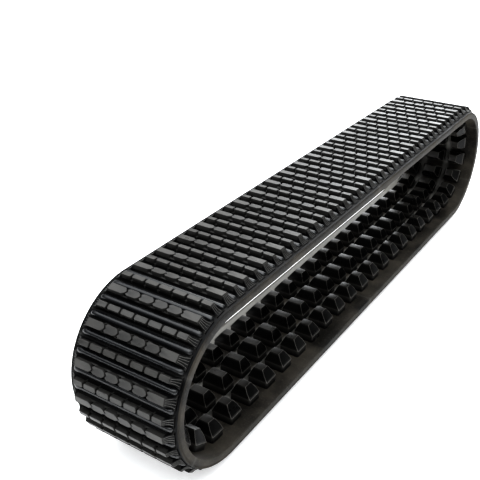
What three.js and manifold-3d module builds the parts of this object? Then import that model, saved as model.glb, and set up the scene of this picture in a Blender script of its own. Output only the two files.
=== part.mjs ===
// All-rubber track belt for a compact loader: an endless moulded belt with tread bars
// outside and three rows of drive lugs inside.
// Millimetres, +Z up. X runs along the track, Y across it, and the track stands on its
// bottom run with the origin under its middle.
// The belt is laid out along its neutral line, where the tension cords lie: a height is
// counted outwards from that line, so heights towards the inside are negative.

import * as THREE from 'three';
import { mergeVertices } from 'three/addons/utils/BufferGeometryUtils.js';
import Module from 'manifold-3d';

// Driving dimensions
const PITCH = 101.6; // from one drive lug to the next
const WIDTH = 381; // across the belt
const TOTAL_PITCHES = 52;
const END_PITCHES = 3; // from the hinge line at the middle of an end to the one above or below
const END_RADIUS = 238; // of the neutral line round each end
const HALF_THICKNESS = 14; // of the belt, each side of the neutral line
const TREAD_HEIGHT = 25; // of a tall bar above the belt

// Layers of the belt, as heights from the neutral line
const GAP = 0.3; // between touching pieces
const CORD_INNER = -5;
const CORD_OUTER = 2.5;
const PLY_OUTER = 6;
const EDGE_RUBBER = 12; // side wall that closes over the edges of the plies

// Tread bars: lengths are across the belt, widths are along it
const BAR_END_MARGIN = 9; // from a bar's foot to the belt's edge
const BAR_TOP_MARGIN = 34; // from a bar's top face to the belt's edge
const BLOCK_BAR = { foot: 28, top: 24 }; // bar of six-sided blocks
const BRICK_BAR = { foot: 21, top: 17 }; // bar of short straight blocks
const RIB = { foot: 16, shoulder: 14, top: 7, shoulderHeight: 7, height: 12, endMargin: 15 };

// Cuts that part the bars into blocks. The six-sided blocks have chevron cuts that widen
// into a notch at each flank; the short blocks have plain slots.
const CUT_DEPTH = 8;
const CHEVRON = { places: [-96, -48, 0, 48, 96], half: 1.3, notch: 5.8, lean: 4 };
const SLOT = { places: [-120, -72, -24, 24, 72, 120], half: 1.8 };
const CUT_REACH = 16; // from a bar's middle to past its flank

// Drive lugs: an upright foot and a tapered tooth on it
const LUG = { foot: 60, shoulder: 55, top: 30, shoulderHeight: 24, height: 58 };
const STRIP_DEPTH = 3; // of the strip that a row of lugs is moulded on
const LUG_ROWS = [
  { name: 'near', middle: -104.5, length: 76, topFrom: -116.5, topTo: -82.5 },
  { name: 'centre', middle: 0, length: 92, topFrom: -27, topTo: 27 },
  { name: 'far', middle: 104.5, length: 76, topFrom: 82.5, topTo: 116.5 },
];

// Places along one pitch, counted from the groove where the belt may be divided
const PLACES = { rib: [10.55, 57.85], brick: 34.2, lug: 46, block: 85 };

// Relief at a hinge line, so that the belt can bend without its halves meeting
const RELIEF_INSIDE = Math.tan(THREE.MathUtils.degToRad(11.5));
const RELIEF_OUTSIDE = Math.tan(THREE.MathUtils.degToRad(7));
const SINK = 2; // how far a bar reaches into the layer it stands on
const LUG_SINK = 0.5; // the same for a lug, whose long foot crosses a hollow surface at the ends

// Worked out from the above
const QUARTER_ARC = (Math.PI / 2) * END_RADIUS;
const HALF_ARC = 2 * QUARTER_ARC;
const FIRST_HINGE = END_PITCHES * PITCH - QUARTER_ARC; // from the top run's start, still on the arc
const STRAIGHT = (TOTAL_PITCHES * PITCH) / 2 - 2 * QUARTER_ARC;
const RUN_PITCHES = TOTAL_PITCHES / 2 - 2 * END_PITCHES;
const BASE_HEIGHT = HALF_THICKNESS + TREAD_HEIGHT; // neutral line of the bottom run
const ARC_STEPS_PER_PITCH = 4;

const COLOURS = {
  tread: { color: 0x3a3b3c, roughness: 0.62, metalness: 0 },
  inner: { color: 0x2e2c29, roughness: 0.7, metalness: 0 },
  lug: { color: 0x34322f, roughness: 0.6, metalness: 0 },
  cord: { color: 0x8a8f94, roughness: 0.4, metalness: 0.7 },
  ply: { color: 0x77705f, roughness: 0.85, metalness: 0 },
};

// Sections of the loop, in the order of travel: along the top run towards +X, down round
// the rear end, back along the bottom run and up round the front end.
const SECTIONS = [
  { name: 'top_front', pitches: RUN_PITCHES / 2, hinged: [true, false] },
  { name: 'top_rear', pitches: RUN_PITCHES / 2, hinged: [false, true] },
  { name: 'rear_upper', pitches: END_PITCHES, hinged: [true, true] },
  { name: 'rear_lower', pitches: END_PITCHES, hinged: [true, true] },
  { name: 'bottom_run', pitches: RUN_PITCHES, hinged: [true, true] },
  { name: 'front_lower', pitches: END_PITCHES, hinged: [true, true] },
  { name: 'front_upper', pitches: END_PITCHES, hinged: [true, true] },
];

const wasm = await Module();
wasm.setup();

// ---- The neutral line ----------------------------------------------------------------

// Point, direction of travel and outward normal at a distance along the loop, which is
// counted from the front end of the straight top run.
function station(distance) {
  const total = TOTAL_PITCHES * PITCH;
  const d = ((distance % total) + total) % total;
  const top = BASE_HEIGHT + 2 * END_RADIUS;
  if (d <= STRAIGHT) return frameAt(-STRAIGHT / 2 + d, top, 0);
  const rear = d - STRAIGHT;
  if (rear <= HALF_ARC) return arcFrame(STRAIGHT / 2, rear / END_RADIUS);
  const bottom = rear - HALF_ARC;
  if (bottom <= STRAIGHT) return frameAt(STRAIGHT / 2 - bottom, BASE_HEIGHT, Math.PI);
  return arcFrame(-STRAIGHT / 2, Math.PI + (bottom - STRAIGHT) / END_RADIUS);
}

// A frame whose direction of travel has turned down from +X by an angle.
function frameAt(x, z, turn) {
  return {
    at: new THREE.Vector2(x, z),
    along: new THREE.Vector2(Math.cos(turn), -Math.sin(turn)),
    out: new THREE.Vector2(Math.sin(turn), Math.cos(turn)),
  };
}

function arcFrame(centreX, turn) {
  const x = centreX + END_RADIUS * Math.sin(turn);
  const z = BASE_HEIGHT + END_RADIUS + END_RADIUS * Math.cos(turn);
  return frameAt(x, z, turn);
}

function place(frame, along, height) {
  return frame.at.clone().addScaledVector(frame.along, along).addScaledVector(frame.out, height);
}

// ---- Solids --------------------------------------------------------------------------

function toSolid(geometry) {
  const bare = geometry.clone();
  bare.deleteAttribute('normal');
  bare.deleteAttribute('uv');
  const merged = mergeVertices(bare, 1e-4);
  const vertProperties = new Float32Array(merged.attributes.position.array);
  const triVerts = new Uint32Array(merged.index.array);
  return new wasm.Manifold(new wasm.Mesh({ numProp: 3, vertProperties, triVerts }));
}

function toGeometry(solid) {
  const mesh = solid.getMesh();
  const geometry = new THREE.BufferGeometry();
  geometry.setAttribute('position', new THREE.BufferAttribute(mesh.vertProperties, 3));
  geometry.setIndex(new THREE.BufferAttribute(mesh.triVerts, 1));
  geometry.computeVertexNormals();
  return geometry;
}

// Distances at which a band of the belt is divided: only the curved stretches need it.
function bandStops(section) {
  const stops = [section.start];
  const count = section.pitches * ARC_STEPS_PER_PITCH;
  for (let i = 1; i < count; i += 1) {
    const d = section.start + (i * section.length) / count;
    const here = station(d).out;
    const before = station(d - PITCH / ARC_STEPS_PER_PITCH).out;
    const after = station(d + PITCH / ARC_STEPS_PER_PITCH).out;
    if (here.distanceTo(before) > 1e-6 || here.distanceTo(after) > 1e-6) stops.push(d);
  }
  stops.push(section.start + section.length);
  return stops;
}

// How far a section's end face stands back from its dividing line at a height.
function setBack(hinged, height) {
  if (!hinged) return GAP / 2;
  const relief = height < 0 ? RELIEF_INSIDE : RELIEF_OUTSIDE;
  return GAP / 2 + Math.abs(height) * relief;
}

// A band of the belt between two heights, across Y from one edge to the other.
function band(section, inner, outer, yFrom, yTo) {
  const stops = bandStops(section);
  const heights = inner < 0 && outer > 0 ? [inner, 0, outer] : [inner, outer];
  const first = station(stops[0]);
  const last = station(stops[stops.length - 1]);
  const outline = [];
  heights.forEach((h) => outline.push(place(first, setBack(section.hinged[0], h), h)));
  stops.slice(1, -1).forEach((d) => outline.push(place(station(d), 0, outer)));
  heights.slice().reverse().forEach((h) => outline.push(place(last, -setBack(section.hinged[1], h), h)));
  stops.slice(1, -1).reverse().forEach((d) => outline.push(place(station(d), 0, inner)));
  const shape = new THREE.Shape(outline);
  const geometry = new THREE.ExtrudeGeometry(shape, { depth: yTo - yFrom, bevelEnabled: false });
  geometry.rotateX(Math.PI / 2); // the outline's second axis becomes Z
  geometry.translate(0, yTo, 0);
  return toSolid(geometry);
}

// A block that stands on the belt at a distance. Each level gives its height, its width
// along the belt and its two ends across it.
function standing(distance, levels) {
  const frame = station(distance);
  const box = new THREE.BoxGeometry(1, 1, 1, 1, 1, levels.length - 1);
  const points = box.attributes.position;
  for (let i = 0; i < points.count; i += 1) {
    const level = levels[Math.round((points.getZ(i) + 0.5) * (levels.length - 1))];
    const spot = place(frame, points.getX(i) * level.width, level.height);
    const y = points.getY(i) < 0 ? level.from : level.to;
    points.setXYZ(i, spot.x, y, spot.y);
  }
  return toSolid(box);
}

function joined(base, blocks) {
  return blocks.reduce((solid, block) => solid.add(block), base);
}

function perPitch(section, make) {
  const blocks = [];
  for (let i = 0; i < section.pitches; i += 1) blocks.push(...make(section.start + i * PITCH));
  return blocks;
}

// ---- Pieces of one section -----------------------------------------------------------

// Seen from above, with X along the belt.
function chevronOutline(y) {
  const { half, notch, lean } = CHEVRON;
  return [
    [-CUT_REACH, y - notch], [0, y - lean - half], [CUT_REACH, y - notch],
    [CUT_REACH, y + notch], [0, y - lean + half], [-CUT_REACH, y + notch],
  ];
}

function slotOutline(y) {
  const { half } = SLOT;
  return [[-CUT_REACH, y - half], [CUT_REACH, y - half], [CUT_REACH, y + half], [-CUT_REACH, y + half]];
}

// An upright prism over an outline, from the bottom of a cut to above the bar's top.
function cutter(distance, outline) {
  const frame = station(distance);
  const low = HALF_THICKNESS + TREAD_HEIGHT - CUT_DEPTH;
  const shape = new THREE.Shape(outline.map(([x, y]) => new THREE.Vector2(x, y)));
  const geometry = new THREE.ExtrudeGeometry(shape, { depth: CUT_DEPTH + 2, bevelEnabled: false });
  const points = geometry.attributes.position;
  for (let i = 0; i < points.count; i += 1) {
    const spot = place(frame, points.getX(i), low + points.getZ(i));
    points.setXYZ(i, spot.x, points.getY(i), spot.y);
  }
  return toSolid(geometry);
}

function blockBar(distance) {
  const cuts = CHEVRON.places.map((y) => cutter(distance, chevronOutline(y)));
  return cuts.reduce((solid, cut) => solid.subtract(cut), tallBar(distance, BLOCK_BAR));
}

function brickBar(distance) {
  const cuts = SLOT.places.map((y) => cutter(distance, slotOutline(y)));
  return cuts.reduce((solid, cut) => solid.subtract(cut), tallBar(distance, BRICK_BAR));
}

function tallBar(distance, bar) {
  const foot = WIDTH / 2 - BAR_END_MARGIN;
  const top = WIDTH / 2 - BAR_TOP_MARGIN;
  return standing(distance, [
    { height: HALF_THICKNESS - SINK, width: bar.foot, from: -foot, to: foot },
    { height: HALF_THICKNESS, width: bar.foot, from: -foot, to: foot },
    { height: HALF_THICKNESS + TREAD_HEIGHT, width: bar.top, from: -top, to: top },
  ]);
}

function lowRib(distance) {
  const end = WIDTH / 2 - RIB.endMargin;
  const shoulderEnd = end - 2;
  const topEnd = end - 8;
  return standing(distance, [
    { height: HALF_THICKNESS - SINK, width: RIB.foot, from: -end, to: end },
    { height: HALF_THICKNESS + RIB.shoulderHeight, width: RIB.shoulder, from: -shoulderEnd, to: shoulderEnd },
    { height: HALF_THICKNESS + RIB.height, width: RIB.top, from: -topEnd, to: topEnd },
  ]);
}

function outerTread(section) {
  const cover = band(section, PLY_OUTER + GAP, HALF_THICKNESS, -WIDTH / 2, WIDTH / 2);
  const bars = perPitch(section, (d) => [
    lowRib(d + PLACES.rib[0]),
    brickBar(d + PLACES.brick),
    lowRib(d + PLACES.rib[1]),
    blockBar(d + PLACES.block),
  ]);
  return joined(cover, bars);
}

// The inner cover wraps up round the edges of the plies, and has a shallow channel for
// the strip under each row of lugs.
function innerCover(section) {
  const half = WIDTH / 2;
  const pocket = half - EDGE_RUBBER;
  let cover = band(section, -HALF_THICKNESS, PLY_OUTER, -half, half);
  const long = stretched(section);
  cover = cover.subtract(band(long, CORD_INNER, PLY_OUTER + 1, -pocket, pocket));
  LUG_ROWS.forEach((row) => {
    const reach = row.length / 2 + GAP;
    const floor = -HALF_THICKNESS + STRIP_DEPTH + GAP;
    const channel = band(long, -HALF_THICKNESS - 1, floor, row.middle - reach, row.middle + reach);
    cover = cover.subtract(channel);
  });
  return cover;
}

// The same section with square ends that run past it, for cutting.
function stretched(section) {
  const start = section.start - 1;
  return { ...section, start, length: section.length + 2, hinged: [false, false] };
}

function plyBand(section, inner, outer) {
  const pocket = WIDTH / 2 - EDGE_RUBBER - GAP;
  return band(section, inner, outer, -pocket, pocket);
}

function driveLug(distance, row) {
  const from = row.middle - row.length / 2;
  const to = row.middle + row.length / 2;
  const foot = -HALF_THICKNESS;
  // Heights run inwards here, so the levels start at the tooth's top.
  return standing(distance, [
    { height: foot - LUG.height, width: LUG.top, from: row.topFrom, to: row.topTo },
    { height: foot - LUG.shoulderHeight, width: LUG.shoulder, from, to },
    { height: foot + LUG_SINK, width: LUG.foot, from, to },
  ]);
}

function lugRow(section, row) {
  const from = row.middle - row.length / 2;
  const to = row.middle + row.length / 2;
  const strip = band(section, -HALF_THICKNESS, -HALF_THICKNESS + STRIP_DEPTH, from, to);
  return joined(strip, perPitch(section, (d) => [driveLug(d + PLACES.lug, row)]));
}

// ---- Assembly ------------------------------------------------------------------------

function piece(name, solid, look) {
  const mesh = new THREE.Mesh(toGeometry(solid), new THREE.MeshStandardMaterial(COLOURS[look]));
  mesh.name = name;
  return mesh;
}

function sectionGroup(section) {
  const group = new THREE.Group();
  group.add(piece(`outer_tread_${section.name}`, outerTread(section), 'tread'));
  group.add(piece(`bias_ply_${section.name}`, plyBand(section, CORD_OUTER + GAP, PLY_OUTER), 'ply'));
  group.add(piece(`tension_cords_${section.name}`, plyBand(section, CORD_INNER + GAP, CORD_OUTER), 'cord'));
  group.add(piece(`inner_cover_${section.name}`, innerCover(section), 'inner'));
  LUG_ROWS.forEach((row) => {
    group.add(piece(`lug_row_${row.name}_${section.name}`, lugRow(section, row), 'lug'));
  });
  return group;
}

function trackBelt() {
  const belt = new THREE.Group();
  let start = FIRST_HINGE;
  SECTIONS.forEach((section) => {
    const length = section.pitches * PITCH;
    belt.add(sectionGroup({ ...section, start, length }));
    start += length;
  });
  return belt;
}

export default trackBelt();
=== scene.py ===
"""Looks of the all-rubber track belt: detailed belt, tread bars, low ribs and drive lugs.

Sizes are in metres. The belt is laid out along its neutral line: s runs along it, y across
it and h outwards from it. Each repeat of the pattern is built flat and then wrapped.
"""

import math

import bmesh
import bpy
import numpy as np
from mathutils import Matrix, Vector


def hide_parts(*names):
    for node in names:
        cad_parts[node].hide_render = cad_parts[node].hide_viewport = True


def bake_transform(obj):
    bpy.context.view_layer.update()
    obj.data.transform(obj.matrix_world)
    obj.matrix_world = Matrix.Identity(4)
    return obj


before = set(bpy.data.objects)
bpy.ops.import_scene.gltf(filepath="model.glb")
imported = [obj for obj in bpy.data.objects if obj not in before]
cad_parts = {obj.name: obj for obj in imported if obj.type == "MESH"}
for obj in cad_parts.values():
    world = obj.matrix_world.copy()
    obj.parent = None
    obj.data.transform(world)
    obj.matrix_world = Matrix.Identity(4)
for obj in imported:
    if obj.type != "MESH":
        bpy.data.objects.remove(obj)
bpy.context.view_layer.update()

# ---- Sizes shared with the CAD part ----------------------------------------------------
PITCH = 0.1016
TOTAL_PITCHES = 52
END_PITCHES = 3
RADIUS = 0.238
HALF_THICK = 0.014
TREAD = 0.025
HALF_WIDTH = 0.1905
BASE = HALF_THICK + TREAD
QUARTER_ARC = math.pi / 2 * RADIUS
HALF_ARC = 2 * QUARTER_ARC
LOOP = TOTAL_PITCHES * PITCH
STRAIGHT = LOOP / 2 - HALF_ARC
FIRST_HINGE = END_PITCHES * PITCH - QUARTER_ARC
LUG_ROWS = {
    "near": (-0.1425, -0.0665, -0.1165, -0.0825),
    "centre": (-0.046, 0.046, -0.027, 0.027),
    "far": (0.0665, 0.1425, 0.0825, 0.1165),
}
RIB_S, BRICK_S, LUG_S, BLOCK_S = (0.0089, 0.0595), 0.0342, 0.046, 0.085

# ---- Wrapping the flat pattern round the loop ------------------------------------------
def stations(s):
    """Points, directions of travel and outward normals in the X-Z plane at distances s."""
    s = np.mod(np.atleast_1d(np.asarray(s, float)), LOOP)
    turn = np.zeros_like(s)
    x, z = np.zeros_like(s), np.zeros_like(s)
    top, mid = BASE + 2 * RADIUS, BASE + RADIUS
    first = s <= STRAIGHT
    x[first], z[first] = s[first] - STRAIGHT / 2, top
    rear = (s > STRAIGHT) & (s <= STRAIGHT + HALF_ARC)
    turn[rear] = (s[rear] - STRAIGHT) / RADIUS
    low = (s > STRAIGHT + HALF_ARC) & (s <= 2 * STRAIGHT + HALF_ARC)
    turn[low] = math.pi
    x[low], z[low] = STRAIGHT / 2 - (s[low] - STRAIGHT - HALF_ARC), BASE
    front = s > 2 * STRAIGHT + HALF_ARC
    turn[front] = math.pi + (s[front] - 2 * STRAIGHT - HALF_ARC) / RADIUS
    for part, centre in ((rear, STRAIGHT / 2), (front, -STRAIGHT / 2)):
        x[part] = centre + RADIUS * np.sin(turn[part])
        z[part] = mid + RADIUS * np.cos(turn[part])
    along = np.stack([np.cos(turn), -np.sin(turn)], 1)
    out = np.stack([np.sin(turn), np.cos(turn)], 1)
    return np.stack([x, z], 1), along, out


def wrap(points, anchor=None):
    """Flat (s, y, h) points to row-frame points. With an anchor they stand rigidly on it."""
    where = points[:, 0] if anchor is None else np.full(len(points), anchor)
    at, along, out = stations(where)
    flat = at + out * points[:, 2:3]
    if anchor is not None:
        flat = flat + along * (points[:, 0:1] - anchor)
    return np.stack([flat[:, 0], points[:, 1], flat[:, 1]], 1)


# ---- Flat shapes -----------------------------------------------------------------------
class Shape:
    """A mesh held as plain points and faces."""

    def __init__(self, points, faces):
        self.points, self.faces = np.asarray(points, float), [tuple(f) for f in faces]

    def mirrored_y(self):
        return Shape(self.points * np.array([1, -1, 1]), [f[::-1] for f in self.faces])


def merge(shapes):
    points, faces, n = [], [], 0
    for shape in shapes:
        points.append(shape.points)
        faces += [tuple(i + n for i in f) for f in shape.faces]
        n += len(shape.points)
    return Shape(np.concatenate(points), faces)


def loft(rings, cap_start=True, cap_end=True):
    """Skin over rings of equal length, each a list of (s, y, h) points."""
    n = len(rings[0])
    points = [p for ring in rings for p in ring]
    faces = []
    for r in range(len(rings) - 1):
        for i in range(n):
            j = (i + 1) % n
            faces.append((r * n + i, r * n + j, (r + 1) * n + j, (r + 1) * n + i))
    if cap_start:
        faces.append(tuple(reversed(range(n))))
    if cap_end:
        faces.append(tuple((len(rings) - 1) * n + i for i in range(n)))
    return Shape(points, faces)


def bevelled(shape, width, segments=2, angle=math.radians(25)):
    """Rounds the sharp edges of a small closed shape."""
    mesh = bpy.data.meshes.new("scratch")
    mesh.from_pydata([tuple(p) for p in shape.points], [], shape.faces)
    bm = bmesh.new()
    bm.from_mesh(mesh)
    bmesh.ops.remove_doubles(bm, verts=bm.verts, dist=1e-6)
    bmesh.ops.recalc_face_normals(bm, faces=bm.faces)
    sharp = [e for e in bm.edges if e.is_manifold and e.calc_face_angle(0) > angle]
    bmesh.ops.bevel(
        bm, geom=sharp, offset=width, segments=segments, profile=0.6, affect="EDGES",
        clamp_overlap=True, offset_type="OFFSET",
    )
    bm.verts.ensure_lookup_table()
    result = Shape([tuple(v.co) for v in bm.verts], [[v.index for v in f.verts] for f in bm.faces])
    bm.free()
    bpy.data.meshes.remove(mesh)
    return result


def prism(outline, h0, h1, taper=0.0):
    """A block with an (s, y) outline, drawn in a little at its top."""
    outline = np.asarray(outline, float)
    middle = outline.mean(0)
    reach = np.abs(outline - middle).max(0) + 1e-9
    top = middle + (outline - middle) * (1 - taper / reach)
    rings = [[(s, y, h0) for s, y in outline], [(s, y, h1) for s, y in top]]
    return loft(rings)


# ---- Tread -----------------------------------------------------------------------------
TOP_Y = HALF_WIDTH - 0.034  # end of a bar's top face
FLARE_Y = HALF_WIDTH - 0.0105  # end of its sloped and flared foot
SIPE = 0.0048  # gap between blocks
SIPE_DEPTH = 0.0140
SIPE_LEAN = -0.0046  # both gaps beside a block point the same way, like a chevron
CORNER_CUT = 0.0095
NOTCH = 0.0044
BLOCK_HALF, BRICK_HALF = 0.0120, 0.0084  # half widths of the blocks' tops
BLOCK_FOOT, BRICK_FOOT = 0.0270, 0.0200
BLOCK_FLARE, BRICK_FLARE = 0.013, 0.011  # how much a foot widens at the bar's ends
BLOCK_CUTS = [-0.096, -0.048, 0.0, 0.048, 0.096]
BRICK_CUTS = [-0.120, -0.072, -0.024, 0.024, 0.072, 0.120]


def fall(t):
    """How far a bar's end has come down, at a share of the way to its foot: a hollow slope."""
    return 0.3 * t + 0.7 * (1 - (1 - t) ** 2.5)


def flank_ring(y, foot, top, h_top, bulge=0.0):
    """Cross-section of a bar at y: foot fillets, sloped flanks and a flat top."""
    low = HALF_THICK - 0.0015
    f, t = foot / 2 + bulge, top / 2
    side = [(f + 0.0035, low), (f + 0.0012, HALF_THICK + 0.0012), (f - 0.0004, HALF_THICK + 0.004)]
    side.append((t + (f - t) * 0.25, HALF_THICK + (h_top - HALF_THICK) * 0.7))
    side += [(t + 0.0004, h_top - 0.0012), (t - 0.0010, h_top)]
    left = [(-s, y, h) for s, h in side]
    right = [(s, y, h) for s, h in reversed(side)]
    return left + right


def bar_body(foot, top, h_body, flare):
    """The continuous part of a bar, with both ends sloping down to flared feet."""
    rows = []
    for t in np.linspace(0, 1, 9):
        y = TOP_Y + (FLARE_Y - TOP_Y) * t
        h = h_body + (HALF_THICK + 0.0022 - h_body) * fall(t)
        wide = foot + flare * t**1.6
        crest = top + (flare * 0.55 - 0.001) * t**1.3
        rows.append((y, wide, crest, h))
    rings = [flank_ring(-y, w, c, h) for y, w, c, h in reversed(rows)]
    rings += [flank_ring(y, w, c, h) for y, w, c, h in rows]
    return loft(rings)


def slope_ridges(count, spread):
    """Thin ridges running down the sloped ends of a bar."""
    ridges = []
    for i in range(count):
        side = (i - (count - 1) / 2) / max(1, count - 1) * 2
        rings = []
        for t in np.linspace(0.06, 0.94, 7):
            y = TOP_Y + (FLARE_Y - TOP_Y) * t
            h = HALF_THICK + TREAD + (0.0022 - TREAD) * fall(t)
            s = side * spread * (0.75 + 0.75 * t**1.3)
            left, right = (s - 0.0014, y, h - 0.001), (s + 0.0014, y, h - 0.001)
            rings.append([left, (s, y, h + 0.0015), right, (s, y, h - 0.002)])
        ridges.append(loft(rings))
    return merge(ridges + [ridge.mirrored_y() for ridge in ridges])


def hex_outline(y0, y1, half, notch, end=False):
    """Block seen from above: full width in the middle, notched in towards the sipes."""
    cut = min(CORNER_CUT, (y1 - y0) * 0.3)
    g = SIPE / 2
    left = [(-(half - notch), y0 + g), (0.0, y0 + g + SIPE_LEAN), (half - notch, y0 + g)]
    if end:
        return left + [(half, y0 + cut), (half, y1), (-half, y1), (-half, y0 + cut)]
    right = [(half - notch, y1 - g), (0.0, y1 - g + SIPE_LEAN), (-(half - notch), y1 - g)]
    return left + [(half, y0 + cut), (half, y1 - cut)] + right + [(-half, y1 - cut), (-half, y0 + cut)]


def block_caps():
    """Six blocks of the block bar: four six-sided ones between two longer end ones."""
    top, low = HALF_THICK + TREAD, HALF_THICK + TREAD - SIPE_DEPTH - 0.001
    caps = []
    for y0, y1 in zip(BLOCK_CUTS, BLOCK_CUTS[1:]):
        outline = hex_outline(y0, y1, BLOCK_HALF, NOTCH)
        caps.append(bevelled(prism(outline, low, top, 0.0004), 0.0006, 1))
    end = hex_outline(BLOCK_CUTS[-1], TOP_Y - 0.0002, BLOCK_HALF, NOTCH, end=True)
    caps.append(bevelled(prism(end, low, top, 0.0004), 0.0006, 1))
    lean_end = [(s, -y) for s, y in end]
    lean_end = [(s, y + (2 * SIPE_LEAN if abs(s) < 1e-9 else 0.0)) for s, y in reversed(lean_end)]
    caps.append(bevelled(prism(lean_end, low, top, 0.0004), 0.0006, 1))
    return caps


def brick_caps():
    """Seven straight blocks of the narrow bar."""
    top, low = HALF_THICK + TREAD, HALF_THICK + TREAD - SIPE_DEPTH - 0.001
    half, g = BRICK_HALF, SIPE / 2
    stops = [-TOP_Y, *BRICK_CUTS, TOP_Y]
    caps = []
    for a, b in zip(stops, stops[1:]):
        a2 = a + (g if a > -TOP_Y else 0.0002)
        b2 = b - (g if b < TOP_Y else 0.0002)
        nick_a, nick_b = (0.0022 if a > -TOP_Y else 0.0), (0.0022 if b < TOP_Y else 0.0)
        flat = half - 0.0045
        outline = [(-flat, a2), (flat, a2), (half, a2 + nick_a), (half, b2 - nick_b)]
        outline += [(flat, b2), (-flat, b2), (-half, b2 - nick_b), (-half, a2 + nick_a)]
        caps.append(bevelled(prism(outline, low, top, 0.0004), 0.0006, 1))
    return caps


def notch_ledges(ys, half, foot_half):
    """Thin wedge-shaped ledges on the flanks under each notch of the block bar."""
    ledges = []
    for y in ys:
        for side in (-1, 1):
            tip, base = side * (half - 0.0036), side * (foot_half + 0.0006)
            high, low = HALF_THICK + TREAD - 0.0065, HALF_THICK + TREAD - 0.0125
            ends = [
                [(tip, edge, low), (base * 0.985, edge, low), (tip, edge, low + 0.0006)]
                for edge in (y - 0.0125, y + 0.0125)
            ]
            middle = [(tip, y, low), (base, y, low), (base * 0.93, y, high)]
            ledges.append(loft([ends[0], middle, ends[1]]))
    return ledges


def foot_nibs(ys, foot_half):
    """Small nibs at the foot of each sipe of the narrow bar."""
    nibs = []
    for y in ys:
        for side in (-1, 1):
            s = side * (foot_half - 0.0012)
            s0, s1, y0, y1 = s - 0.0016, s + 0.0016, y - 0.0022, y + 0.0022
            outline = [(s0, y0), (s1, y0), (s1, y1), (s0, y1)]
            nib = prism(outline, HALF_THICK + 0.004, HALF_THICK + 0.0135, 0.0006)
            nibs.append(bevelled(nib, 0.0005, 1))
    return nibs


def low_rib():
    """A rounded rib with ends that run out further than the tall bars' tops."""
    end = HALF_WIDTH - 0.0150
    tip = [0.7, 0.85, 0.91, 0.955, 0.985, 1.0]
    ys = np.concatenate([[-v for v in reversed(tip)], np.linspace(-0.5, 0.5, 5), tip]) * end
    rings = []
    for y in ys:
        left = max(0.0, 1 - abs(y) / end) * end / 0.020
        round_end = math.sqrt(max(0.0, 1 - (1 - min(1, left)) ** 2))
        half = 0.0044 + 0.0054 * round_end
        height = 0.0012 + 0.0108 * round_end
        ring = []
        for a in np.linspace(0, math.pi, 13):
            ring.append((-half * math.cos(a), y, HALF_THICK - 0.001 + height * math.sin(a) ** 0.75))
        ring += [(half, y, HALF_THICK - 0.002), (-half, y, HALF_THICK - 0.002)]
        rings.append(ring)
    return loft(rings)


def block_bar():
    top = HALF_THICK + TREAD
    body = bar_body(BLOCK_FOOT, 0.0190, top - SIPE_DEPTH, BLOCK_FLARE)
    end = end_slope(BLOCK_HALF, BLOCK_FOOT, BLOCK_FLARE)
    ledges = notch_ledges(BLOCK_CUTS, BLOCK_HALF, 0.0130)
    return merge([body, end, end.mirrored_y()] + block_caps() + ledges)


def end_slope(half, foot, flare):
    """Solid cap over the sloped end of a bar, from its top face down to the flared foot."""
    rings = []
    for t in np.linspace(-0.02, 1, 10):
        u = max(t, 0.0)
        y = TOP_Y + (FLARE_Y - TOP_Y) * t
        h = HALF_THICK + TREAD + (0.0022 - TREAD) * fall(u)
        wide = foot + flare * u**1.6
        crest = 2 * half + (flare * 0.55) * u**1.3
        rings.append(flank_ring(y, wide, crest, h))
    return loft(rings)


def brick_bar():
    top = HALF_THICK + TREAD
    body = bar_body(BRICK_FOOT, 0.0158, top - SIPE_DEPTH, BRICK_FLARE)
    end = end_slope(BRICK_HALF, BRICK_FOOT, BRICK_FLARE)
    nibs = foot_nibs(BRICK_CUTS, 0.0098)
    return merge([body, end, end.mirrored_y()] + brick_caps() + nibs)


# ---- Drive lugs ------------------------------------------------------------------------
def drive_lug(row):
    """Upright foot, moulding bead at its shoulder, and a tapered tooth with a flat top."""
    y0, y1, t0, t1 = LUG_ROWS[row]
    floor = -HALF_THICK

    def level(half, a, b, h, rounding):
        r = rounding
        return [
            (-half, a + r, h), (-half, b - r, h), (-half + r, b, h), (half - r, b, h),
            (half, b - r, h), (half, a + r, h), (half - r, a, h), (-half + r, a, h),
        ]

    levels = [
        level(0.0300, y0, y1, floor + 0.0015, 0.004),
        level(0.0292, y0 + 0.0008, y1 - 0.0008, floor - 0.0025, 0.004),
        level(0.0276, y0 + 0.0014, y1 - 0.0014, floor - 0.0225, 0.003),
    ]
    foot = loft(levels)
    s = 0.0276
    tooth_levels = []
    for t in np.linspace(0, 1, 7):
        a = y0 + 0.0006 + (t0 - y0 - 0.0006) * t
        b = y1 - 0.0006 + (t1 - y1 + 0.0006) * t
        lens = 0.0022 * math.sin(math.pi * t)
        half = s + 0.0004 + (0.0150 - s - 0.0004) * t + lens
        tooth_levels.append(level(half, a, b, floor - 0.0222 - 0.0358 * t, 0.0012))
    tooth = loft(tooth_levels)
    return merge([bevelled(foot, 0.0012, 2), bevelled(tooth, 0.0011, 2)])


def thin_line(a, b, thick):
    """A square rod between two (s, y, h) points."""
    a, b = Vector(a), Vector(b)
    along = (b - a).normalized()
    side = along.cross(Vector((0.3, 0.2, 1.0))).normalized() * thick
    other = along.cross(side).normalized() * thick
    corners = [side + other, side - other, -side - other, -side + other]
    return loft([[tuple(end + c) for c in corners] for end in (a, b)])


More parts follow.
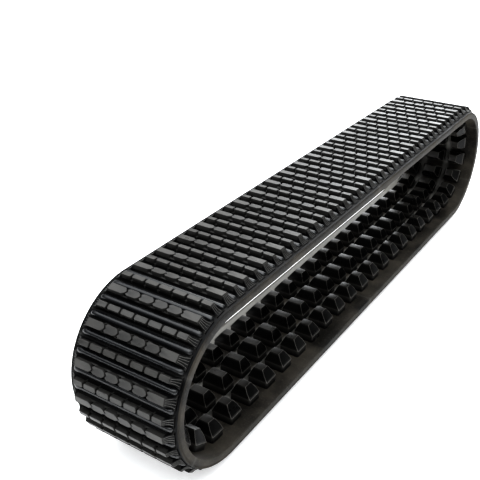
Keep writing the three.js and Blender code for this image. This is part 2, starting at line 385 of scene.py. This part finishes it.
def flash_lines(row):
    """Raised mould lines round the sloped ends of a lug and along its shoulder."""
    y0, y1, t0, t1 = LUG_ROWS[row]
    shoulder, top = -HALF_THICK - 0.0228, -HALF_THICK - 0.0576
    lines = []
    for low_y, top_y, inward in ((y0 + 0.0006, t0, 1), (y1 - 0.0006, t1, -1)):
        foot = [(side * 0.0268, low_y, shoulder) for side in (-1, 1)]
        mid = [(side * 0.0236, (low_y + top_y) / 2, (shoulder + top) / 2) for side in (-1, 1)]
        head = [(side * 0.0146, top_y + inward * 0.0004, top) for side in (-1, 1)]
        path = [foot[0], mid[0], head[0], head[1], mid[1], foot[1], foot[0]]
        lines += [thin_line(a, b, 0.00042) for a, b in zip(path, path[1:])]
    return merge(lines)


# ---- Belt ------------------------------------------------------------------------------
BELT_STEPS = 12  # rings per pitch


def cover_profile(low, high, bottom_round, top_round):
    """(y, h) outline of one layer of the belt, with its outer corners rounded."""
    w = HALF_WIDTH
    half = [(w, low + bottom_round), (w, high - top_round)]
    for a in (20, 45, 70, 90):
        r = math.radians(a)
        half.append((w - top_round * (1 - math.cos(r)), high - top_round * (1 - math.sin(r))))
    flat = [0.170, 0.144, 0.110, 0.0665, 0.046, 0.015]
    half += [(y, high) for y in flat]
    bottom = []
    for a in (20, 45, 70, 90):
        r = math.radians(a)
        bottom.append((w - bottom_round * (1 - math.cos(r)), low + bottom_round * (1 - math.sin(r))))
    bottom += [(y, low) for y in flat]
    right_up = list(reversed(bottom)) + half
    left = [(-y, h) for y, h in reversed(right_up)]
    return right_up + left


def layer_band(s0, s1, profile):
    n = max(2, round((s1 - s0) / PITCH * BELT_STEPS))
    rings = [[(s, y, h) for y, h in profile] for s in np.linspace(s0, s1, n + 1)]
    return loft(rings)


def outward(shape):
    """The same shape with every shell's faces turned outwards."""
    mesh = bpy.data.meshes.new("scratch")
    mesh.from_pydata([tuple(p) for p in shape.points], [], shape.faces)
    bm = bmesh.new()
    bm.from_mesh(mesh)
    bmesh.ops.recalc_face_normals(bm, faces=bm.faces)
    bm.verts.ensure_lookup_table()
    result = Shape([tuple(v.co) for v in bm.verts], [[v.index for v in f.verts] for f in bm.faces])
    bm.free()
    bpy.data.meshes.remove(mesh)
    return result


# ---- Materials -------------------------------------------------------------------------
class Nodes:
    """Short way to add and join shader nodes."""

    def __init__(self, tree):
        self.tree = tree
        tree.nodes.clear()

    def add(self, kind, **values):
        node = self.tree.nodes.new(kind)
        for key, value in values.items():
            if key[0].isupper() or " " in key:
                node.inputs[key].default_value = value
            else:
                setattr(node, key, value)
        return node

    def join(self, source, output, target, entry):
        self.tree.links.new(source.outputs[output], target.inputs[entry])


def ramp(nodes, source, output, low, high, dark=0.0, light=1.0):
    node = nodes.add("ShaderNodeMapRange")
    for name, value in (("From Min", low), ("From Max", high), ("To Min", dark), ("To Max", light)):
        node.inputs[name].default_value = value
    nodes.join(source, output, node, "Value")
    return node


def noise(nodes, coords, scale, detail=4.0, stretch=(1, 1, 1)):
    mapping = nodes.add("ShaderNodeMapping")
    mapping.inputs["Scale"].default_value = stretch
    nodes.join(coords, "Object", mapping, "Vector")
    node = nodes.add("ShaderNodeTexNoise")
    node.inputs["Scale"].default_value = scale
    node.inputs["Detail"].default_value = detail
    nodes.join(mapping, "Vector", node, "Vector")
    return node


def blend_colour(nodes, a, b, factor, output="Result"):
    mix = nodes.add("ShaderNodeMix", data_type="RGBA")
    for entry, value in ((6, a), (7, b)):
        if isinstance(value, tuple):
            mix.inputs[entry].default_value = (*value, 1)
        else:
            nodes.tree.links.new(value.outputs[2], mix.inputs[entry])
    nodes.tree.links.new(factor.outputs[output], mix.inputs[0])
    return mix


def lane_dust_and_painted_light(nodes, coords, patches):
    """Share of the paler colour across the belt: full in the two lanes, which is dust, and on the far
    wheel path, which is painted light where more light falls.
    """
    split = nodes.add("ShaderNodeSeparateXYZ")
    nodes.join(coords, "Object", split, "Vector")
    across = nodes.add("ShaderNodeMath", operation="ABSOLUTE")
    nodes.join(split, "Y", across, 0)
    from_lane = nodes.add("ShaderNodeMath", operation="SUBTRACT")
    nodes.join(across, "Value", from_lane, 0)
    from_lane.inputs[1].default_value = 0.056
    distance = nodes.add("ShaderNodeMath", operation="ABSOLUTE")
    nodes.join(from_lane, "Value", distance, 0)
    near = ramp(nodes, distance, "Value", 0.008, 0.020, 1.0, 0.0)
    uneven = ramp(nodes, patches, "Fac", 0.25, 0.65, 0.55, 1.0)
    # Painted light: the far wheel path takes the pale lane colour for the light that falls on it.
    from_path = nodes.add("ShaderNodeMath", operation="SUBTRACT")
    nodes.join(split, "Y", from_path, 0)
    from_path.inputs[1].default_value = 0.165
    off_path = nodes.add("ShaderNodeMath", operation="ABSOLUTE")
    nodes.join(from_path, "Value", off_path, 0)
    far_path_painted_light = ramp(nodes, off_path, "Value", 0.014, 0.022, 1.0, 0.0)
    either = nodes.add("ShaderNodeMath", operation="MAXIMUM")
    nodes.join(near, "Result", either, 0)
    nodes.join(far_path_painted_light, "Result", either, 1)
    share = nodes.add("ShaderNodeMath", operation="MULTIPLY")
    nodes.join(either, "Value", share, 0)
    nodes.join(uneven, "Result", share, 1)
    return share


WORN_EDGE = (0.16, 0.155, 0.145)


def rubber(
    name, base, dust, dust_amount, rough, edge,
    grain=0.25, streaks=0.0, scuff=WORN_EDGE, gloss=0.5, lanes=None,
):
    """Moulded rubber: mottled colour, dust in patches, paler edges and a fine grain."""
    material = bpy.data.materials.new(name)
    material.use_nodes = True
    nodes = Nodes(material.node_tree)
    coords = nodes.add("ShaderNodeTexCoord")
    patches = noise(nodes, coords, 9.0, 6.0)
    specks = noise(nodes, coords, 160.0, 5.0)
    patch = ramp(nodes, patches, "Fac", 0.38, 0.72, 0.0, dust_amount)
    mottled = blend_colour(nodes, base, dust, patch)
    speck = ramp(nodes, specks, "Fac", 0.55, 0.75, 0.0, dust_amount * 0.6)
    speckled = blend_colour(nodes, mottled, dust, speck)
    if lanes:
        speckled = blend_colour(nodes, speckled, lanes, lane_dust_and_painted_light(nodes, coords, patches), "Value")
    geometry = nodes.add("ShaderNodeNewGeometry")
    wear = ramp(nodes, geometry, "Pointiness", 0.52, 0.60, 0.0, edge)
    coloured = blend_colour(nodes, speckled, scuff, wear)
    shader = nodes.add("ShaderNodeBsdfPrincipled")
    shader.inputs["Specular IOR Level"].default_value = gloss
    nodes.tree.links.new(coloured.outputs[2], shader.inputs["Base Color"])
    rougher = ramp(nodes, patches, "Fac", 0.3, 0.7, rough - 0.08, rough + 0.12)
    nodes.join(rougher, "Result", shader, "Roughness")
    fine = noise(nodes, coords, 900.0, 3.0)
    bump = nodes.add("ShaderNodeBump")
    bump.inputs["Strength"].default_value = grain
    bump.inputs["Distance"].default_value = 0.0004
    nodes.join(fine, "Fac", bump, "Height")
    if streaks:
        long = noise(nodes, coords, 60.0, 5.0, (9.0, 0.25, 9.0))
        second = nodes.add("ShaderNodeBump")
        second.inputs["Strength"].default_value = streaks
        second.inputs["Distance"].default_value = 0.0012
        nodes.join(long, "Fac", second, "Height")
        nodes.join(bump, "Normal", second, "Normal")
        bump = second
    nodes.join(bump, "Normal", shader, "Normal")
    output = nodes.add("ShaderNodeOutputMaterial")
    nodes.join(shader, "BSDF", output, "Surface")
    return material


TREAD_RUBBER = rubber(
    "tread_rubber", (0.0060, 0.0062, 0.0068), (0.060, 0.059, 0.058),
    dust_amount=0.45, rough=0.33, edge=0.45, gloss=0.30,
)
# Painted shade: a darker copy of the tread rubber for the bars' flanks and the groove floors between
# the bars.
GROOVE_PAINTED_SHADE = rubber(
    "painted_groove_shade", (0.0028, 0.0028, 0.0030), (0.016, 0.0155, 0.015),
    dust_amount=0.25, rough=0.46, edge=0.25, gloss=0.16,
)
# Painted highlight: the ridges on the bars' sloped ends are made pale to stand in for their highlight
# streaks.
RIDGE_PAINTED_HIGHLIGHT = rubber(
    "painted_ridge_highlight", (0.045, 0.044, 0.041), (0.17, 0.165, 0.155),
    dust_amount=0.6, rough=0.4, edge=0.4,
)
RIB_RUBBER = rubber(
    "rib_rubber", (0.009, 0.0098, 0.0112), (0.045, 0.045, 0.048),
    dust_amount=0.2, rough=0.24, edge=0.2, grain=0.1, streaks=0.12, gloss=0.68,
)
SIDE_RUBBER = rubber(
    "cover_rubber", (0.0105, 0.0090, 0.0074), (0.078, 0.067, 0.052),
    dust_amount=0.75, rough=0.6, edge=0.4, grain=0.4, streaks=0.5, gloss=0.2,
)
# The lanes colour is dust in the two lanes and painted light on the far wheel path.
INNER_RUBBER = rubber(
    "inner_rubber", (0.0125, 0.0112, 0.0094), (0.105, 0.093, 0.076),
    dust_amount=0.8, rough=0.55, edge=0.4, gloss=0.25, lanes=(0.24, 0.234, 0.218),
)
LUG_RUBBER = rubber(
    "lug_rubber", (0.0035, 0.0034, 0.0032), (0.030, 0.028, 0.025),
    dust_amount=0.10, rough=0.30, edge=1.0, scuff=(0.20, 0.19, 0.175), gloss=0.2,
)
SCUFF_RUBBER = rubber(
    "scuffed_rubber", (0.10, 0.094, 0.084), (0.33, 0.32, 0.29),
    dust_amount=0.9, rough=0.5, edge=0.4,
)
CORD = rubber("cord_layer", (0.10, 0.097, 0.085), (0.2, 0.19, 0.17), 0.3, 0.6, 0.2)
PLY = rubber("ply_layer", (0.07, 0.063, 0.05), (0.16, 0.15, 0.12), 0.3, 0.7, 0.2)


# ---- Pieces ----------------------------------------------------------------------------
def piece(name, points, faces, materials, chosen):
    mesh = bpy.data.meshes.new(name)
    mesh.from_pydata([tuple(p) for p in points], [], faces)
    for material in materials:
        mesh.materials.append(material)
    mesh.polygons.foreach_set("material_index", chosen)
    mesh.shade_smooth()
    mesh.set_sharp_from_angle(angle=math.radians(38))
    mesh.update()
    obj = bpy.data.objects.new(name, mesh)
    bpy.context.scene.collection.objects.link(obj)
    return obj


def faces_above(shape, height):
    """1 for each face of a flat shape that lies wholly above a height, 0 for the others."""
    return [int((shape.points[list(face), 2] > height).all()) for face in shape.faces]


def repeated(template, offsets, s0, s1):
    """Copies of a flat template on every pitch whose middle lies between two distances."""
    points, faces, n = [], [], 0
    for k in range(-2, TOTAL_PITCHES + 2):
        for offset in offsets:
            middle = FIRST_HINGE + k * PITCH + offset
            if not s0 <= middle < s1:
                continue
            points.append(wrap(template.points + np.array([middle, 0, 0]), middle))
            faces += [tuple(i + n for i in f) for f in template.faces]
            n += len(template.points)
    return np.concatenate(points), faces


# Each span of belt runs across one hinge line: start, hinge and end in pitches, then the
# bodies before and after the hinge.
SPANS = [
    (-1.5, 0, 10, "front_upper", "top_front"),
    (10, 20, 21.5, "top_rear", "rear_upper"),
    (21.5, 23, 24.5, "rear_upper", "rear_lower"),
    (24.5, 26, 36, "rear_lower", "bottom_run"),
    (36, 46, 47.5, "bottom_run", "front_lower"),
    (47.5, 49, 50.5, "front_lower", "front_upper"),
]
BEND_ZONE = 1.2 * PITCH


def place_span(span, bands, standing):
    a, hinge, b, before, after = span
    s0, s1, line = (FIRST_HINGE + v * PITCH for v in (a, b, hinge))
    tag = f"{before}_to_{after}"
    made = []

    def add(kind, shape_points, faces, finish, template, nodes):
        # The lower material is painted groove shade on the bars and on the cover's top.
        lower, upper, height = finish
        chosen = faces_above(template, height) * (len(faces) // len(template.faces))
        materials = [lower] if lower is upper else [lower, upper]
        if lower is upper:
            chosen = [0] * len(faces)
        obj = piece(f"{kind}_{tag}", shape_points, faces, materials, chosen)
        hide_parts(*[f"{n}_{body}" for n in nodes for body in (before, after)])
        made.append(obj)

    for kind, profile, finish, slot in bands:
        band = outward(layer_band(s0, s1, profile))
        add(kind, wrap(band.points), band.faces, finish, band, [kind])
    for kind, template, offsets, finish, slot, node in standing:
        points, faces = repeated(template, offsets, s0, s1)
        add(kind, points, faces, finish, template, [node])
    start, end = wrap(np.array([[line - BEND_ZONE, 0, 0], [line + BEND_ZONE, 0, 0]]))
    for obj in made:
        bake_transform(obj)


def plain(material):
    """One material all over."""
    return (material, material, 0.0)


def build_track():
    # Below the given heights, the bars and the cover's top take the painted groove shade.
    bar_wear_and_painted_shade = (GROOVE_PAINTED_SHADE, TREAD_RUBBER, BASE - 0.0012)  # tops worn paler; the flanks below are painted shade
    cover_side_and_painted_shade = (SIDE_RUBBER, GROOVE_PAINTED_SHADE, HALF_THICK - 0.0004)
    tread_outline = cover_profile(0.00615, HALF_THICK, 0.0008, 0.0030)
    inner_outline = cover_profile(-HALF_THICK, 0.0060, 0.0030, 0.0008)
    bands = [
        ("outer_tread", tread_outline, cover_side_and_painted_shade, "tread_rubber"),
        ("bias_ply", inset_profile(0.0028, 0.0059), plain(PLY), "ply_layer"),
        ("tension_cords", inset_profile(-0.0047, 0.0025), plain(CORD), "cord_layer"),
        ("inner_cover", inner_outline, plain(INNER_RUBBER), "inner_rubber"),
    ]
    # The ridges carry a painted highlight.
    ridge_highlight_paint = plain(RIDGE_PAINTED_HIGHLIGHT)
    on_tread = [
        ("block_bars", block_bar(), [BLOCK_S], bar_wear_and_painted_shade),
        ("brick_bars", brick_bar(), [BRICK_S], bar_wear_and_painted_shade),
        ("block_bar_ridges", slope_ridges(4, 0.0096), [BLOCK_S], ridge_highlight_paint),
        ("brick_bar_ridges", slope_ridges(3, 0.0064), [BRICK_S], ridge_highlight_paint),
        ("low_ribs", low_rib(), list(RIB_S), plain(RIB_RUBBER)),
    ]
    standing = [
        (kind, outward(template), offsets, finish, "tread_rubber", "outer_tread")
        for kind, template, offsets, finish in on_tread
    ]
    for row in LUG_ROWS:
        lug = outward(drive_lug(row))
        node = f"lug_row_{row}"
        standing.append((f"lugs_{row}", lug, [LUG_S], plain(LUG_RUBBER), "lug_rubber", node))
        lines = outward(flash_lines(row))
        standing.append((f"lug_lines_{row}", lines, [LUG_S], plain(SCUFF_RUBBER), "lug_rubber", node))
    for span in SPANS:
        place_span(span, bands, standing)


def inset_profile(low, high):
    w = HALF_WIDTH - 0.0123
    right = [(w, low), (w, high), (0.1, high), (0.0, high)]
    left = [(-0.1, high), (-w, high), (-w, low), (-0.1, low), (0.0, low), (0.1, low)]
    return right + left


# ---- World, light, floor and camera ----------------------------------------------------
SKY = [((-0.12, 0, 1), 0.50, 0.98, 2.7), ((0.94, 0.22, 0.24), 0.90, 0.998, 4.6)]
SKY_FLOOR = 0.10
BACKDROP = 1.05


def make_world():
    """Studio light from above and from behind the track, over a dim horizon."""
    world = bpy.data.worlds.new("world")
    bpy.context.scene.world = world
    world.use_nodes = True
    nodes = Nodes(world.node_tree)
    coords = nodes.add("ShaderNodeTexCoord")
    strengths = []
    for direction, low, high, strength in SKY:
        toward = nodes.add("ShaderNodeVectorMath", operation="DOT_PRODUCT")
        toward.inputs[1].default_value = Vector(direction).normalized()
        nodes.join(coords, "Generated", toward, 0)
        strengths.append(ramp(nodes, toward, "Value", low, high, 0.0, strength))
        strengths[-1].interpolation_type = "SMOOTHSTEP"
    total = nodes.add("ShaderNodeMath", operation="ADD")
    nodes.join(strengths[0], "Result", total, 0)
    nodes.join(strengths[1], "Result", total, 1)
    lifted = nodes.add("ShaderNodeMath", operation="ADD")
    nodes.join(total, "Value", lifted, 0)
    lifted.inputs[1].default_value = SKY_FLOOR
    background = nodes.add("ShaderNodeBackground")
    background.inputs["Color"].default_value = (0.95, 0.975, 1.0, 1)
    # Seen directly the backdrop is plain and pale, like the floor; its light is unchanged.
    ray = nodes.add("ShaderNodeLightPath")
    shown = nodes.add("ShaderNodeMix", data_type="FLOAT")
    nodes.tree.links.new(ray.outputs["Is Camera Ray"], shown.inputs[0])
    nodes.tree.links.new(lifted.outputs["Value"], shown.inputs[2])
    shown.inputs[3].default_value = BACKDROP
    nodes.tree.links.new(shown.outputs[0], background.inputs["Strength"])
    output = nodes.add("ShaderNodeOutputWorld")
    nodes.join(background, "Background", output, "Surface")


def area_light(name, location, target, size, power, colour):
    data = bpy.data.lights.new(name, "AREA")
    data.shape, data.size, data.size_y = "RECTANGLE", size[0], size[1]
    data.energy, data.color = power, colour
    light = bpy.data.objects.new(name, data)
    light.location = location
    direction = Vector(target) - Vector(location)
    light.rotation_mode = "QUATERNION"
    light.rotation_quaternion = direction.to_track_quat("-Z", "Y")
    bpy.context.scene.collection.objects.link(light)


def make_floor():
    mesh = bpy.data.meshes.new("floor")
    reach, level = 30.0, -0.0008
    corners = [(x * reach, y * reach, level) for x, y in ((-1, -1), (1, -1), (1, 1), (-1, 1))]
    mesh.from_pydata(corners, [], [(0, 1, 2, 3)])
    material = bpy.data.materials.new("floor")
    material.use_nodes = True
    shader = material.node_tree.nodes["Principled BSDF"]
    shader.inputs["Base Color"].default_value = (0.82, 0.82, 0.82, 1)
    shader.inputs["Roughness"].default_value = 0.9
    shader.inputs["Specular IOR Level"].default_value = 0.1
    shader.inputs["Emission Color"].default_value = (1.0, 1.0, 1.0, 1)
    shader.inputs["Emission Strength"].default_value = 0.40
    mesh.materials.append(material)
    floor = bpy.data.objects.new("floor", mesh)
    bpy.context.scene.collection.objects.link(floor)


CAMERA_AT = (-2.3236, -1.1435, 1.6247)
CAMERA_ANGLES = (-56.1, 28.0, -0.5)  # azimuth, elevation and roll, in degrees
LENS_MM = 56.1


def make_camera():
    azimuth, elevation, roll = (math.radians(v) for v in CAMERA_ANGLES)
    data = bpy.data.cameras.new("camera")
    data.lens, data.sensor_width = LENS_MM, 36.0
    data.clip_start, data.clip_end = 0.05, 100.0
    camera = bpy.data.objects.new("camera", data)
    camera.location = CAMERA_AT
    level = math.cos(elevation)
    back = Vector((math.sin(azimuth) * level, -math.cos(azimuth) * level, math.sin(elevation)))
    right = Vector((math.cos(azimuth), math.sin(azimuth), 0))
    up = back.cross(right)
    r = right * math.cos(roll) + up * math.sin(roll)
    u = up * math.cos(roll) - right * math.sin(roll)
    camera.rotation_mode = "QUATERNION"
    rows = [[r[i], u[i], back[i]] for i in range(3)]
    camera.rotation_quaternion = Matrix(rows).to_quaternion()
    bpy.context.scene.collection.objects.link(camera)
    bpy.context.scene.camera = camera


build_track()
make_world()
area_light("key", (1.6, 0.9, 3.4), (-0.3, 0.0, 0.3), (3.0, 2.0), 55.0, (1.0, 0.99, 0.97))
make_floor()
make_camera()
bpy.context.scene.view_settings.view_transform = "Standard"
bpy.context.scene.view_settings.look = "High Contrast"
